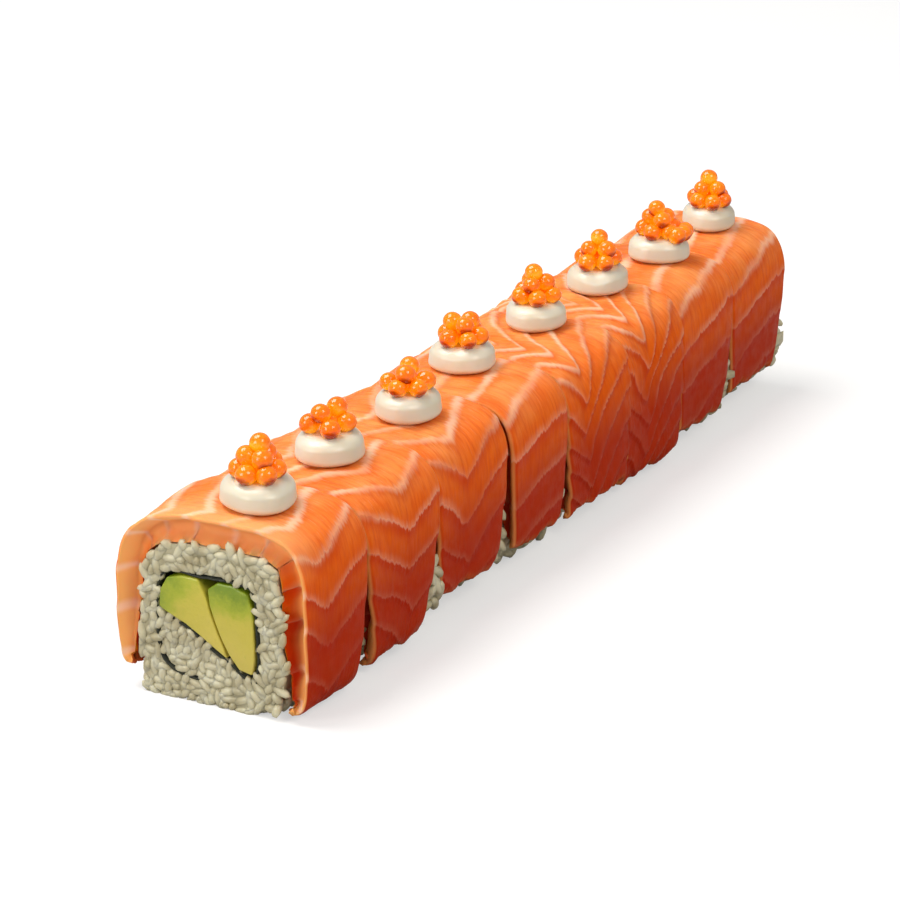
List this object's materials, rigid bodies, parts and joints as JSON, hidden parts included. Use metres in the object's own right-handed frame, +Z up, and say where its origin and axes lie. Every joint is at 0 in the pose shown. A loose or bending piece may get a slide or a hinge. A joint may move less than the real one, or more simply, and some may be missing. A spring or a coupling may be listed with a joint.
{
  "type": "uramaki roll",
  "caption": "Row of rice-outside rolls draped in salmon, cut into slices, each topped with cream and fish roe, with nori and avocado inside.",
  "frame": {"origin": "centre of the bounding box's underside, where the row rests", "axes": "+Y along the row from the shown cut end to the far end, +X towards the flank that is seen, +Z up"},
  "size_m": [0.043, 0.2154, 0.0524],
  "materials": {
    "rice": "moist cooked rice grains",
    "nori": "dark pressed seaweed sheet",
    "avocado": "soft ripe flesh, green at the skin side and yellow inside",
    "salmon": "moist raw fish with pale fat lines",
    "cream": "smooth, softly glossy",
    "roe": "wet translucent pearls"
  },
  "bodies": {
    "root": {"rice_1": "rice", "nori_1": "nori", "avocado_left_1": "avocado", "avocado_right_1": "avocado", "salmon_1": "salmon", "cream_1": "cream", "roe_1": "roe", "rice_2": "rice", "nori_2": "nori", "avocado_left_2": "avocado", "avocado_right_2": "avocado", "salmon_2": "salmon", "cream_2": "cream", "roe_2": "roe", "rice_3": "rice", "nori_3": "nori", "avocado_left_3": "avocado", "avocado_right_3": "avocado", "salmon_3": "salmon", "cream_3": "cream", "roe_3": "roe", "rice_4": "rice", "nori_4": "nori", "avocado_left_4": "avocado", "avocado_right_4": "avocado", "salmon_4": "salmon", "cream_4": "cream", "roe_4": "roe", "rice_5": "rice", "nori_5": "nori", "avocado_left_5": "avocado", "avocado_right_5": "avocado", "salmon_5": "salmon", "cream_5": "cream", "roe_5": "roe", "rice_6": "rice", "nori_6": "nori", "avocado_left_6": "avocado", "avocado_right_6": "avocado", "salmon_6": "salmon", "cream_6": "cream", "roe_6": "roe", "rice_7": "rice", "nori_7": "nori", "avocado_left_7": "avocado", "avocado_right_7": "avocado", "salmon_7": "salmon", "cream_7": "cream", "roe_7": "roe", "rice_8": "rice", "nori_8": "nori", "avocado_left_8": "avocado", "avocado_right_8": "avocado", "salmon_8": "salmon", "cream_8": "cream", "roe_8": "roe"}
  },
  "joints": []
}
